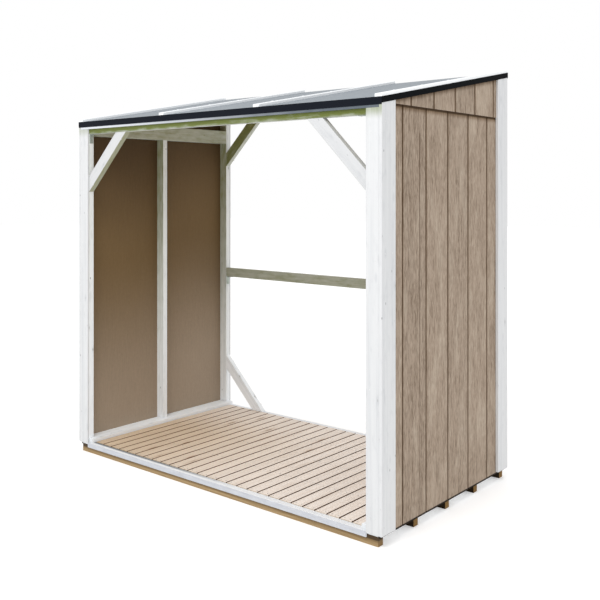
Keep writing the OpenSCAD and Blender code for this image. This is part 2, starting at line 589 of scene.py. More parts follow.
@dataclass(frozen=True)
class ShadeGradedPaint:
    """White paint with painted shade that greys it from the left end of a board to its right end."""

    name: str
    left: Colour
    right: Colour
    shade_from: float
    shade_to: float

    def material(self) -> bpy.types.Material:
        """Builds the material.

        Returns:
            The material.
        """
        sheet = Sheet(self.name)
        wood = Wood(sheet)
        fine = wood.streaks(Mark.BRISTLE)
        blotch = wood.streaks(Mark.LONG_BLOTCH)
        x, _, _ = sheet.split(sheet.place())
        # painted shade: the colour goes from the left colour to the right one along the board, a bit
        # patchy
        share = x.rises(self.shade_from, self.shade_to) * (0.8 + 0.4 * blotch)
        colour = sheet.mix(self.left, self.right, share.clamped())
        colour = sheet.dim(colour, 1.02 - 0.08 * fine)
        return sheet.finish(
            {
                "Base Color": colour,
                "Roughness": 0.56 + fine * 0.12,
                "Specular IOR Level": 0.3,
                "Normal": sheet.bump(fine, 0.5 * MM, 0.5),
            }
        )


@dataclass(frozen=True)
class BareTimber:
    """Unpainted softwood: boards, bearers and planks."""

    name: str
    light: Colour
    dark: Colour
    knot: Colour
    end: Colour
    streak_depth: float = 0.75
    tone_depth: float = 0.16
    roughness: float = 0.72
    half_width: float | None = None
    gap: Colour = paint(70, 46, 30)
    sheen: float = 0.3
    lip: float | None = None
    shaded: Colour | None = None
    shaded_from: float = 0.0
    shaded_to: float = 1.0
    shaded_depth: float = FAR
    shade_reach: float = 0.65
    speckle: float = 0.0
    speck_stain: Colour = (0.76, 0.67, 0.59)
    dark_front: float = 0.0

    def material(self) -> bpy.types.Material:
        """Builds the material.

        Returns:
            The material.
        """
        sheet = Sheet(self.name)
        wood = Wood(sheet)
        broad = wood.streaks(Mark.BAND)
        fine = wood.streaks(Mark.FIBRE)
        rings = wood.rings(pitch=6.2 * MM, wander=30 * MM)
        knots = wood.knots(Mark.KNOT, size=0.15, bare=0.66)
        halo = wood.knots(Mark.KNOT, size=0.34, bare=0.66)
        share = broad.rises(0.3, 0.75) * 0.55 + rings * 0.28 + fine.rises(0.45, 0.8) * 0.3
        colour = sheet.mix(self.light, self.dark, share * self.streak_depth)
        colour = sheet.mix(colour, self.dark, halo * 0.5)
        colour = sheet.mix(colour, self.knot, knots * 0.8)
        colour = sheet.mix(colour, self.end, wood.end * 0.85)
        colour = sheet.dim(colour, 1.0 - self.tone_depth * wood.tone)
        if self.shaded is not None:
            left, deep, _ = sheet.split(sheet.place())
            shade = left.rises(self.shaded_from, self.shaded_to)
            fades = deep.rises(self.shaded_depth - self.shade_reach, self.shaded_depth)
            shade = shade * (1.0 - 0.8 * fades)
            colour = sheet.stain_and_shade(colour, self.shaded, shade)
        if self.speckle > 0.0:
            dots = wood.streaks(Mark.DOT, 2.0).rises(0.52, 0.66)
            colour = sheet.stain_and_shade(colour, self.speck_stain, dots * self.speckle)
        # painted shade: the board's rounded edges darken to the gap colour, where shade falls into the
        # gaps between boards
        if self.half_width is not None:
            _, side, _ = sheet.split(wood.grain)
            edge = abs(side).rises(self.half_width - 2.4 * MM, self.half_width - 1.0 * MM)
            colour = sheet.mix(colour, self.gap, edge * (1.0 - wood.end))
        # painted shadow under the sill's nosing: darker on the bearer below the lip, near black right
        # under it
        if self.lip is not None:
            _, _, height = sheet.split(sheet.place())
            shady = height.rises(self.lip - 20 * MM, self.lip - 10 * MM) * (0.55 + 0.4 * broad)
            colour = sheet.mix(colour, self.dark, shady)
            hidden = height.rises(self.lip - 9 * MM, self.lip - 2 * MM)
            colour = sheet.mix(colour, self.gap, hidden * 0.9)
        # painted shade: faces that look forwards darken to the gap colour, for bearers that stand in
        # shade under the floor
        if self.dark_front > 0.0:
            front, _ = wood.facing()
            colour = sheet.mix(colour, self.gap, front * self.dark_front)
        relief = rings * 0.3 + fine * 0.5 + knots * 0.3
        rough = self.roughness + fine * 0.14 - 0.07
        return sheet.finish(
            {
                "Base Color": colour,
                "Roughness": rough,
                "Specular IOR Level": self.sheen,
                "Normal": sheet.bump(relief, 0.7 * MM, 0.6),
            }
        )


@dataclass(frozen=True)
class GroovedSheet:
    """Wood-grained wall board: embossed and grooved outside, plain brown inside."""

    name: str
    thickness: float
    groove: float
    half_width: float
    joint: float = FAR
    foot: float = -FAR
    eave: float = FAR
    slope: float = 0.0
    face: Colour = paint(170, 153, 136)
    streak: Colour = paint(106, 89, 72)
    pale: Colour = paint(188, 174, 157)
    line: Colour = paint(68, 45, 25)
    crack: float = -0.272
    crack_top: float = 1.83
    # painted shadow and shade: the two shadow colours and the three tints after them, beside the
    # grooves, under the roof's edge and under the joint
    foot_shadow: Colour = paint(30, 20, 10)
    joint_shadow: Colour = paint(54, 37, 18)
    groove_shade: Colour = (0.46, 0.38, 0.28)
    eave_shadow: Colour = (0.34, 0.25, 0.15)
    joint_soft_shadow: Colour = (0.42, 0.32, 0.20)
    # painted shade and light: inside grades to inside_top towards the roof and to inside_foot near the
    # floor
    inside: Colour = paint(110, 89, 60)
    inside_top: Colour = paint(78, 61, 41)
    inside_foot: Colour = paint(160, 144, 126)
    top: float = 1.96

    def material(self) -> bpy.types.Material:
        """Builds the material.

        Returns:
            The material.
        """
        sheet = Sheet(self.name)
        wood = Wood(sheet)
        _, side, through = sheet.split(wood.grain)
        _, deep, height = sheet.split(sheet.place())
        fine = wood.streaks(Mark.PRESSED_FINE)
        narrow = wood.streaks(Mark.PRESSED_NARROW, 4.0)
        outside = self.embossed(sheet, wood, fine, narrow)
        outside = self.grooved(sheet, outside, side, through, deep, height)
        outside = self.shadowed(sheet, outside, height)
        lined = through.rises(0.8 * MM, 0.2 * MM)
        relief = narrow * 0.5 + fine * 0.5
        return sheet.finish(
            {
                "Base Color": sheet.mix(outside, self.lining(sheet, wood, deep, height), lined),
                "Roughness": 0.68 + fine * 0.12 - 0.06,
                "Specular IOR Level": 0.12,
                "Normal": sheet.bump(relief, 1.2 * MM, 0.7),
            }
        )

    def grooved(
        self, sheet: Sheet, colour: Term, side: Term, through: Term, deep: Term, height: Term
    ) -> Term:
        """Paints shade beside the grooves and a shadow under the roof's edge, then draws its grooves
        and the crack in front.

        Args:
            sheet: The material's graph.
            colour: The colour so far.
            side: The place across the board, from its middle.
            through: The place through the board, from its back.
            deep: The place towards the back of the store.
            height: The height above the ground.

        Returns:
            The colour.
        """
        level = height / self.top
        # painted shade beside each groove, stronger towards the roof
        beside = abs(side).rises(self.half_width - 12.5 * MM, self.half_width - 4.5 * MM)
        colour = sheet.stain_and_shade(colour, self.groove_shade, beside * (0.30 + 0.42 * level))
        # painted shadow under the roof's edge, along the sloping top of the sheet
        under = (height - deep * self.slope).rises(self.eave - 40 * MM, self.eave - 6 * MM)
        colour = sheet.stain_and_shade(colour, self.eave_shadow, under * 0.9)
        cut = through.rises(self.thickness - 0.2 * MM, self.thickness - self.groove * 0.30)
        colour = sheet.mix(colour, self.line, cut)
        crack = abs(deep - self.crack).rises(5.2 * MM, 1.6 * MM)
        crack = crack * height.rises(self.crack_top + 10 * MM, self.crack_top)
        return sheet.mix(colour, self.line, crack * (0.25 + 0.55 * level))

    def shadowed(self, sheet: Sheet, colour: Term, height: Term) -> Term:
        """Paints the shadow under the sheet above it and at this sheet's foot.

        Args:
            sheet: The material's graph.
            colour: The colour so far.
            height: The height above the ground.

        Returns:
            The colour.
        """
        below = 1.0 - height.above(self.joint + 0.4 * MM)
        # painted shadow under the gable sheet: soft, then a hard dark line just below it
        soft = height.rises(self.joint - 36 * MM, self.joint - 8 * MM) * below
        colour = sheet.stain_and_shade(colour, self.joint_soft_shadow, soft * 0.85)
        hard = height.rises(self.joint - 14 * MM, self.joint - 8 * MM) * below
        colour = sheet.mix(colour, self.joint_shadow, hard * 0.9)
        # painted shadow at the sheet's foot
        ragged = height.rises(self.foot + 10.5 * MM, self.foot + 6.5 * MM)
        return sheet.mix(colour, self.foot_shadow, ragged)

    def lining(self, sheet: Sheet, wood: Wood, deep: Term, height: Term) -> Term:
        """Gives the inner face, with painted shade that darkens it towards the roof and painted light
        that lightens it near the floor.

        Args:
            sheet: The material's graph.
            wood: The board's coordinates.
            deep: The place towards the back of the store.
            height: The height above the ground.

        Returns:
            The colour.
        """
        level = height / self.top - deep.rises(-0.25, 0.35) * 0.09
        # painted light near the floor and painted shade towards the roof
        inner = sheet.mix(self.inside_foot, self.inside, level.rises(-0.02, 0.60))
        inner = sheet.mix(inner, self.inside_top, level.rises(0.60, 1.0))
        fibre = wood.streaks(Mark.LINING) * 0.5 + wood.streaks(Mark.SHORT_LINING) * 0.5
        return sheet.dim(inner, 0.80 + 0.42 * fibre)

    def embossed(self, sheet: Sheet, wood: Wood, fine: Term, narrow: Term) -> Term:
        """Gives the outer face's grain, with flames up the middle of a board.

        Args:
            sheet: The material's graph.
            wood: The board's coordinates.
            fine: Short fine streaks.
            narrow: Longer streaks.

        Returns:
            The colour.
        """
        broad = wood.streaks(Mark.PRESSED_BROAD)
        patch = wood.streaks(Mark.PATCH, 2.0)
        flames = wood.rings(pitch=11 * MM, wander=55 * MM)
        flecks = wood.streaks(Mark.FLECK, 2.0).rises(0.58, 0.72)
        share = narrow.rises(0.38, 0.66) * 0.20 + fine.rises(0.40, 0.64) * 0.50
        share = share + flames * 0.20 + broad.rises(0.42, 0.66) * 0.18 - 0.05
        colour = sheet.mix(self.face, self.streak, (share * (0.72 + 0.35 * wood.tone)).clamped())
        light = patch.rises(0.46, 0.70) * 0.30 + flecks * 0.40
        colour = sheet.mix(colour, self.pale, light.clamped())
        return sheet.dim(colour, 1.04 - 0.10 * wood.tone)


@dataclass(frozen=True)
class CoatedMetal:
    """Colour-coated sheet metal with faint roll marks and dust."""

    name: str
    coat: Colour
    worn: Colour
    roughness: float = 0.38
    marks: float = 0.35
    sheen: float = 0.3

    def material(self) -> bpy.types.Material:
        """Builds the material.

        Returns:
            The material.
        """
        sheet = Sheet(self.name)
        place = sheet.place()
        cloud = sheet.noise(place, 2.3, 3.0)
        dust = sheet.noise(place, 38.0, 4.0)
        rolled = sheet.noise(sheet.stretch(place, (90.0, 2.0, 2.0)), 1.0, 2.0)
        share = cloud.rises(0.35, 0.75) * 0.5 + dust.rises(0.5, 0.8) * 0.4 + rolled * 0.2
        rough = self.roughness + 0.16 * dust + 0.1 * cloud - 0.1
        return sheet.finish(
            {
                "Base Color": sheet.mix(self.coat, self.worn, share * self.marks),
                "Roughness": rough,
                "Specular IOR Level": self.sheen,
                "Normal": sheet.bump(cloud * 0.6 + dust * 0.4, 0.8 * MM, 0.35),
            }
        )


@dataclass(frozen=True)
class Zinc:
    """Galvanised steel with its spangle."""

    name: str
    bright: Colour = paint(176, 180, 178)
    dull: Colour = paint(120, 126, 120)
    metallic: float = 0.8

    def material(self) -> bpy.types.Material:
        """Builds the material.

        Returns:
            The material.
        """
        sheet = Sheet(self.name)
        place = sheet.place()
        inputs = {"Vector": place, "Scale": 260.0}
        cell = sheet.node("ShaderNodeTexVoronoi", inputs=inputs)
        spangle, _, _ = sheet.split(Term(sheet, cell.outputs["Color"]))
        cloud = sheet.noise(place, 45.0, 3.0)
        return sheet.finish(
            {
                "Base Color": sheet.mix(self.bright, self.dull, spangle * 0.5 + cloud * 0.5),
                "Metallic": self.metallic,
                "Roughness": 0.36 + 0.22 * spangle,
                "Normal": sheet.bump(cloud, 0.2 * MM, 0.3),
            }
        )


@dataclass
class Finishes:
    """All finishes of the store, each built once.

    board_width is a floor board's width, sill_lip the height of the nosing's lower edge and seam the
    place of its back edge.
    """

    board_width: float
    sill_lip: float
    seam: float
    board_paint: bpy.types.Material = field(init=False)
    sill_paint: bpy.types.Material = field(init=False)
    brace_paint: bpy.types.Material = field(init=False)
    inner_paint: bpy.types.Material = field(init=False)
    frame_paint: bpy.types.Material = field(init=False)
    rail_paint: bpy.types.Material = field(init=False)
    olive_shade_paint: bpy.types.Material = field(init=False)
    beam_paint: bpy.types.Material = field(init=False)
    fascia_paint: bpy.types.Material = field(init=False)
    decking: bpy.types.Material = field(init=False)
    bearer_pine: bpy.types.Material = field(init=False)
    hidden_pine: bpy.types.Material = field(init=False)
    roof_pine: bpy.types.Material = field(init=False)
    sheet_metal: bpy.types.Material = field(init=False)
    rib_metal: bpy.types.Material = field(init=False)
    edge_metal: bpy.types.Material = field(init=False)
    verge_metal: bpy.types.Material = field(init=False)
    zinc: bpy.types.Material = field(init=False)
    screw_zinc: bpy.types.Material = field(init=False)
    screw_paint: bpy.types.Material = field(init=False)

    def __post_init__(self) -> None:
        """Builds the materials."""
        self.mix_paints()
        self.season_woods()
        self.coat_metals()

    def mix_paints(self) -> None:
        """Builds the painted finishes."""
        # painted light and shade: copies of one white paint; the inner and sill whites are lighter, as
        # painted light, and the brace white is darker, as painted shade
        outer, outer_grey = paint(210, 211, 212), paint(186, 188, 191)
        inner, inner_grey = paint(243, 246, 249), paint(211, 215, 219)
        # olive colour of painted shade
        shade_olive = paint(96, 105, 46)
        # painted shadow: a green tint on the front faces' tops, under the fascia, for the roof
        # overhang's shadow
        self.board_paint = PaintedTimber(
            "board_paint", outer, outer_grey, paint(122, 134, 84),
            tint_from=1.878, tint_to=1.93, on_front=0.62, tint_depth=0.0, tint_left=0.6,
            knot_depth=0.75,
        ).material()
        # painted shade: the grey tint on the sill's front face
        self.sill_paint = PaintedTimber(
            "sill_paint", paint(236, 238, 241), paint(214, 217, 222), paint(184, 187, 194),
            tint_from=-1.0, tint_to=-0.5, on_front=0.9, knot_depth=0.5, seam=self.seam,
        ).material()
        # painted shade: an olive tint on the braces' undersides, higher up
        self.brace_paint = PaintedTimber(
            "brace_paint", paint(202, 203, 204), paint(180, 182, 185), paint(130, 132, 78),
            tint_from=1.0, tint_to=1.3, on_underside=0.9, on_sides=0.15,
        ).material()
        self.inner_paint = PaintedTimber(
            "inner_paint", inner, inner_grey, shade_olive, knot_depth=0.7
        ).material()
        # painted shade: an olive tint that grows towards the roof, most on forward faces
        self.frame_paint = PaintedTimber(
            "frame_paint", inner, inner_grey, paint(118, 121, 52), tint_from=-0.15, tint_to=1.95,
            on_front=0.80, on_underside=0.7, on_sides=0.20, knot_depth=0.8,
        ).material()
        # painted shade: an olive tint at every height on the rails
        self.rail_paint = PaintedTimber(
            "rail_paint", inner, inner_grey, paint(114, 116, 44), tint_from=-1.0, tint_to=0.5,
            on_front=0.66, on_underside=0.62, on_sides=0.68, knot_depth=0.9,
        ).material()
        # painted shade: an olive tint at every height, for the upper rear braces under the eave
        self.olive_shade_paint = PaintedTimber(
            "olive_shade_paint", inner, inner_grey, paint(120, 124, 74), tint_from=-1.0, tint_to=0.5,
            on_front=1.0, on_underside=0.7, on_sides=0.35, knot_depth=0.9,
        ).material()
        # painted shade: an olive tint at the beams' tops, under the fascia and drip edge
        self.beam_paint = PaintedTimber(
            "beam_paint", inner, inner_grey, shade_olive, tint_from=1.846, tint_to=1.932,
            on_front=1.1, on_underside=0.6, on_sides=0.5, knot_depth=0.7,
        ).material()
        # painted shade: the fascia greys towards its right end
        self.fascia_paint = ShadeGradedPaint(
            "fascia_paint", left=paint(212, 215, 221), right=paint(88, 96, 104),
            shade_from=-1.1, shade_to=0.9,
        ).material()

    def season_woods(self) -> None:
        """Builds the bare woods."""
        self.decking = BareTimber(
            "decking", light=paint(250, 241, 233), dark=paint(223, 207, 193),
            knot=paint(164, 136, 112), end=paint(220, 206, 188), tone_depth=0.07,
            half_width=0.5 * self.board_width, gap=paint(92, 58, 36), sheen=0.12,
            shaded=(0.76, 0.66, 0.52), shaded_from=0.45, shaded_to=-0.95, shaded_depth=0.55,
            speckle=0.5,
        ).material()
        self.bearer_pine = BareTimber(
            "bearer_pine", light=paint(176, 150, 110), dark=paint(120, 97, 63),
            knot=paint(96, 72, 44), end=paint(120, 92, 52), gap=paint(58, 42, 24),
            lip=self.sill_lip,
        ).material()
        # painted shade: the hidden bearers' forward faces are near black
        self.hidden_pine = BareTimber(
            "hidden_pine", light=paint(150, 124, 82), dark=paint(108, 84, 52),
            knot=paint(82, 60, 34), end=paint(128, 98, 56), gap=paint(28, 18, 7), sheen=0.1,
            dark_front=0.97,
        ).material()
        self.roof_pine = BareTimber(
            "roof_pine", light=paint(196, 168, 128), dark=paint(154, 124, 88),
            knot=paint(110, 80, 52), end=paint(140, 108, 74),
        ).material()

    def coat_metals(self) -> None:
        """Builds the metal finishes."""
        self.sheet_metal = CoatedMetal(
            "roof_sheet_coat", paint(103, 113, 122), paint(133, 142, 150), sheen=0.25
        ).material()
        self.rib_metal = CoatedMetal(
            "roof_rib_coat", paint(236, 238, 240), paint(214, 218, 222)
        ).material()
        self.edge_metal = CoatedMetal(
            "edge_coat", paint(14, 18, 27), paint(30, 34, 42), roughness=0.5, sheen=0.08
        ).material()
        # painted shade: the verge coat is a darker copy of the black edge coat
        self.verge_metal = CoatedMetal(
            "verge_coat", paint(5, 7, 10), paint(14, 16, 19), roughness=0.6, sheen=0.04
        ).material()
        self.zinc = Zinc("bracket_zinc", paint(190, 198, 190), paint(140, 150, 140)).material()
        self.screw_zinc = Zinc(
            "screw_zinc", paint(190, 192, 190), paint(150, 152, 150), metallic=0.6
        ).material()
        self.screw_paint = CoatedMetal(
            "screw_paint", paint(214, 215, 215), paint(190, 191, 190), roughness=0.5
        ).material()


# ------------------------------------------------------------------ laying what repeats


class Layout(Graph):
    """A Geometry Nodes graph with named inputs."""

    def __init__(self, name: str, inputs: Mapping[str, str]) -> None:
        """Makes a geometry tree.

        Args:
            name: The tree's name.
            inputs: Each input's name and socket type, after the geometry.
        """
        super().__init__(bpy.data.node_groups.new(name, "GeometryNodeTree"))
        face = self.tree.interface
        face.new_socket("Geometry", in_out="INPUT", socket_type="NodeSocketGeometry")
        face.new_socket("Geometry", in_out="OUTPUT", socket_type="NodeSocketGeometry")
        self.names = {}
        for title, kind in inputs.items():
            made = face.new_socket(title, in_out="INPUT", socket_type=kind)
            self.names[title] = made.identifier
        self.source = self.tree.nodes.new("NodeGroupInput")

    def given(self, title: str) -> Term:
        """Gives one of the tree's inputs."""
        return Term(self, self.source.outputs[title])

    def stored(self, name: str, kind: str) -> Term:
        """Reads an attribute that was stored before."""
        return self.term("GeometryNodeInputNamedAttribute", {"data_type": kind}, {"Name": name})

    def end(self, geometry: Term) -> None:
        """Gives the result its material and links it.

        Args:
            geometry: The tree's realised geometry.
        """
        inputs = {"Geometry": geometry, "Material": self.given("Material")}
        dressed = self.term("GeometryNodeSetMaterial", inputs=inputs)
        sink = self.tree.nodes.new("NodeGroupOutput")
        self.tree.links.new(dressed.socket, sink.inputs["Geometry"])

    def combine(self, x: Plug = 0.0, y: Plug = 0.0, z: Plug = 0.0) -> Term:
        """Makes a vector from three numbers."""
        return self.term("ShaderNodeCombineXYZ", inputs={0: x, 1: y, 2: z})

    def apply(self, host: bpy.types.Object, values: Mapping[str, Plug]) -> None:
        """Runs the tree on a host once and keeps the plain mesh.

        Args:
            host: The object that the tree works on.
            values: The value of each named input.
        """
        modifier = host.modifiers.new("layout", "NODES")
        modifier.node_group = self.tree
        for title, value in values.items():
            modifier[self.names[title]] = value
        graph = bpy.context.evaluated_depsgraph_get()
        mesh = bpy.data.meshes.new_from_object(
            host.evaluated_get(graph), preserve_all_data_layers=True, depsgraph=graph
        )
        host.modifiers.clear()
        host.data = mesh


def board_layout() -> Layout:
    """Builds the tree that lays a row of boards.

    A board's profile lies in X and Y with its face side at +Y, and the board runs along +Z.

    Returns:
        The tree.
    """
    tree = Layout(
        "board_row",
        {
            "Count": "NodeSocketInt",
            "Pitch": "NodeSocketFloat",
            "First": "NodeSocketFloat",
            "Width": "NodeSocketFloat",
            "Thickness": "NodeSocketFloat",
            "Length": "NodeSocketFloat",
            "Face edge": "NodeSocketFloat",
            "Back edge": "NodeSocketFloat",
            "Low": "NodeSocketFloat",
            "High": "NodeSocketFloat",
            "End slope": "NodeSocketFloat",
            "Seed": "NodeSocketInt",
            "Material": "NodeSocketMaterial",
        },
    )
    width, thickness, length = (tree.given(n) for n in ("Width", "Thickness", "Length"))
    outline = tree.term(
        "GeometryNodeCurvePrimitiveQuadrilateral", {"mode": "RECTANGLE"}, {0: width, 1: thickness}
    )
    place = tree.term("GeometryNodeInputPosition")
    _, side, _ = tree.split(place)
    faced = side.above(0.0)
    radius = faced * tree.given("Face edge") + (1.0 - faced) * tree.given("Back edge")
    fillet = tree.node(
        "GeometryNodeFilletCurve", inputs={"Curve": outline, "Radius": radius, "Limit Radius": True}
    )
    set_choice(fillet, "mode", "Mode", "POLY", "Poly")
    fillet.inputs["Count"].default_value = 2
    flat = tree.node("GeometryNodeFillCurve", inputs={0: Term(tree, fillet.outputs[0])})
    set_choice(flat, "mode", "Mode", "NGONS", "N-gons")
    base = Term(tree, flat.outputs[0])
    raised = tree.term(
        "GeometryNodeExtrudeMesh", {"mode": "FACES"},
        {"Mesh": base, "Offset": tree.combine(z=length), "Offset Scale": 1.0, "Individual": False},
    )
    foot = tree.term("GeometryNodeFlipFaces", inputs={0: base})
    joined = tree.node("GeometryNodeJoinGeometry")
    for part in (foot, raised):
        tree.tree.links.new(part.socket, joined.inputs[0])
    board = tree.term(
        "GeometryNodeMergeByDistance",
        inputs={"Geometry": Term(tree, joined.outputs[0]), "Distance": MERGE_GAP},
    )
    local = tree.term("GeometryNodeInputPosition")
    board = tree.term(
        "GeometryNodeStoreNamedAttribute", {"data_type": "FLOAT_VECTOR", "domain": "POINT"},
        {"Geometry": board, "Name": SPOT, "Value": local},
    )
    start = tree.combine(x=tree.given("First") + width * 0.5, y=thickness * 0.5)
    step = tree.combine(x=tree.given("Pitch"))
    line = tree.term(
        "GeometryNodeMeshLine", {"mode": "OFFSET"},
        {"Count": tree.given("Count"), "Start Location": start, "Offset": step},
    )
    row = tree.term("GeometryNodeInstanceOnPoints", inputs={"Points": line, "Instance": board})
    luck = tree.term(
        "FunctionNodeRandomValue", {"data_type": "FLOAT"},
        {2: 0.0, 3: 1.0, "Seed": tree.given("Seed")}, output=1,
    )
    row = tree.term(
        "GeometryNodeStoreNamedAttribute", {"data_type": "FLOAT", "domain": "INSTANCE"},
        {"Geometry": row, "Name": TONE, "Value": luck},
    )
    whole = tree.term("GeometryNodeRealizeInstances", inputs={0: row})
    now = tree.term("GeometryNodeInputPosition")
    x, y, z = tree.split(now)
    kept = x.maths("MAXIMUM", tree.given("Low")).maths("MINIMUM", tree.given("High"))
    along = z + z.maths("GREATER_THAN", length * 0.5) * kept * tree.given("End slope")
    spot = tree.stored(SPOT, "FLOAT_VECTOR")
    spot_x, spot_y, _ = tree.split(spot)
    tone = tree.stored(TONE, "FLOAT")
    coords = tree.combine(along + tone * GRAIN_SHIFT, spot_x + kept - x, spot_y + thickness * 0.5)
    whole = tree.term(
        "GeometryNodeStoreNamedAttribute", {"data_type": "FLOAT_VECTOR", "domain": "POINT"},
        {"Geometry": whole, "Name": GRAIN, "Value": coords},
    )
    cut = tree.combine(kept, y, along)
    whole = tree.term("GeometryNodeSetPosition", inputs={"Geometry": whole, "Position": cut})
    normal = tree.term("GeometryNodeInputNormal")
    _, _, up = tree.split(normal)
    whole = tree.term(
        "GeometryNodeStoreNamedAttribute", {"data_type": "FLOAT", "domain": "FACE"},
        {"Geometry": whole, "Name": END_CUT, "Value": abs(up).above(END_FACE)},
    )
    tree.end(tree.term("GeometryNodeRemoveAttribute", inputs={"Geometry": whole, "Name": SPOT}))
    return tree


def set_choice(node: bpy.types.Node, setting: str, socket: str, word: str, title: str) -> None:
    """Sets a node's choice, which is a property or a menu socket.

    Args:
        node: The node.
        setting: The property's name.
        socket: The menu socket's name.
        word: The property's value.
        title: The menu socket's value.
    """
    if hasattr(node, setting):
        setattr(node, setting, word)
    else:
        node.inputs[socket].default_value = title


def screw_layout() -> Layout:
    """Builds the tree that sets a screw head on each vertex, along the vertex's aim.

    Returns:
        The tree.
    """
    tree = Layout(
        "screw_heads",
        {
            "Radius": "NodeSocketFloat",
            "Height": "NodeSocketFloat",
            "Seed": "NodeSocketInt",
            "Material": "NodeSocketMaterial",
        },
    )
    radius, height = tree.given("Radius"), tree.given("Height")
    drum = tree.node(
        "GeometryNodeMeshCylinder", {"fill_type": "NGON"},
        {"Vertices": 12, "Radius": radius, "Depth": height * 2.0},
    )
    drum_mesh, drum_top = Term(tree, drum.outputs["Mesh"]), Term(tree, drum.outputs["Top"])
    dome = tree.node(
        "GeometryNodeExtrudeMesh", {"mode": "FACES"},
        {"Mesh": drum_mesh, "Selection": drum_top, "Offset Scale": height * 0.5},
    )
    dome_top = Term(tree, dome.outputs["Top"])
    capped = tree.term(
        "GeometryNodeScaleElements", {"domain": "FACE"},
        {"Geometry": Term(tree, dome.outputs["Mesh"]), "Selection": dome_top, "Scale": 0.72},
    )
    rim = tree.node(
        "GeometryNodeExtrudeMesh", {"mode": "FACES"},
        {"Mesh": capped, "Selection": dome_top, "Offset Scale": 0.0},
    )
    rim_top = Term(tree, rim.outputs["Top"])
    ringed = tree.term(
        "GeometryNodeScaleElements", {"domain": "FACE"},
        {"Geometry": Term(tree, rim.outputs["Mesh"]), "Selection": rim_top, "Scale": 0.5},
    )
    socket = tree.term(
        "GeometryNodeExtrudeMesh", {"mode": "FACES"},
        {"Mesh": ringed, "Selection": rim_top, "Offset Scale": height * -1.2},
    )
    aim = tree.stored(AIM, "FLOAT_VECTOR")
    turn = tree.term("FunctionNodeAlignRotationToVector", {"axis": "Z"}, {"Vector": aim})
    heads = tree.term(
        "GeometryNodeInstanceOnPoints",
        inputs={"Points": tree.given("Geometry"), "Instance": socket, "Rotation": turn},
    )
    luck = tree.term(
        "FunctionNodeRandomValue", {"data_type": "FLOAT"},
        {2: 0.0, 3: math.tau, "Seed": tree.given("Seed")}, output=1,
    )
    heads = tree.term(
        "GeometryNodeRotateInstances",
        inputs={"Instances": heads, "Rotation": tree.combine(z=luck), "Local Space": True},
    )
    whole = tree.term("GeometryNodeRealizeInstances", inputs={0: heads})
    tree.end(tree.term("GeometryNodeRemoveAttribute", inputs={"Geometry": whole, "Name": AIM}))
    return tree


# ------------------------------------------------------------------ pieces


def new_object(name: str, mesh: bpy.types.Mesh) -> bpy.types.Object:
    """Links a new object to the scene.

    Args:
        name: Its name.
        mesh: Its mesh.

    Returns:
        The object.
    """
    made = bpy.data.objects.new(name, mesh)
    bpy.context.scene.collection.objects.link(made)
    return made


def settle(piece: bpy.types.Object, nodes: Sequence[str] = ()) -> bpy.types.Object:
    """Fixes a finished piece to the store.

    Args:
        piece: The piece.
        nodes: The CAD nodes that it stands for.

    Returns:
        The piece.
    """
    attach(piece, BODY)
    if nodes:
        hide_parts(*nodes)
    LOG.info("%s: %d faces", piece.name, len(piece.data.polygons))
    return piece


def merged(node: str) -> bmesh.types.BMesh:
    """Copies a CAD node as flat-faced solids with shared corners.

    Args:
        node: The CAD node.

    Returns:
        The copy, which the caller frees.
    """
    work = bmesh.new()
    work.from_mesh(bpy.data.objects[node].data)
    bmesh.ops.remove_doubles(work, verts=work.verts, dist=MERGE_GAP)
    bmesh.ops.dissolve_limit(work, angle_limit=FLAT_TURN, verts=work.verts, edges=work.edges)
    return work


def islands(work: bmesh.types.BMesh) -> list[list[bmesh.types.BMVert]]:
    """Splits a mesh into its separate solids.

    Args:
        work: The mesh.

    Returns:
        Each solid's vertices.
    """
    left = set(work.verts)
    found = []
    for vert in work.verts:
        if vert not in left:
            continue
        left.discard(vert)
        group, queue = [], [vert]
        while queue:
            current = queue.pop()
            group.append(current)
            for edge in current.link_edges:
                other = edge.other_vert(current)
                if other in left:
                    left.discard(other)
                    queue.append(other)
        found.append(group)
    return found


def corners(points: Iterable[Vector]) -> tuple[Vector, Vector]:
    """Gives the lowest and the highest corner of some points.

    Args:
        points: The points.

    Returns:
        The two corners of their box.
    """
    spots = list(points)
    low = Vector(min(p[i] for p in spots) for i in range(3))
    high = Vector(max(p[i] for p in spots) for i in range(3))
    return low, high


def solid_boxes(node: str) -> list[tuple[Vector, Vector]]:
    """Gives the box of each separate solid of a CAD node, from low X and low Y up.

    Args:
        node: The CAD node.

    Returns:
        Each box's lowest and highest corner.
    """
    work = merged(node)
    boxes = [corners(v.co for v in group) for group in islands(work)]
    work.free()
    return sorted(boxes, key=lambda box: (round(box[0].x, 4), round(box[0].y, 4)))


def board_axes(run: Vector) -> tuple[Vector, Vector, Vector]:
    """Gives a board's own axes: along the grain, across its face and through it.

    Args:
        run: The direction of the grain.

    Returns:
        The three axes.
    """
    helper = Run.DEEP.value if abs(run.z) > 0.3 else Run.UPRIGHT.value
    side = helper.cross(run).normalized()
    return run, side, run.cross(side)


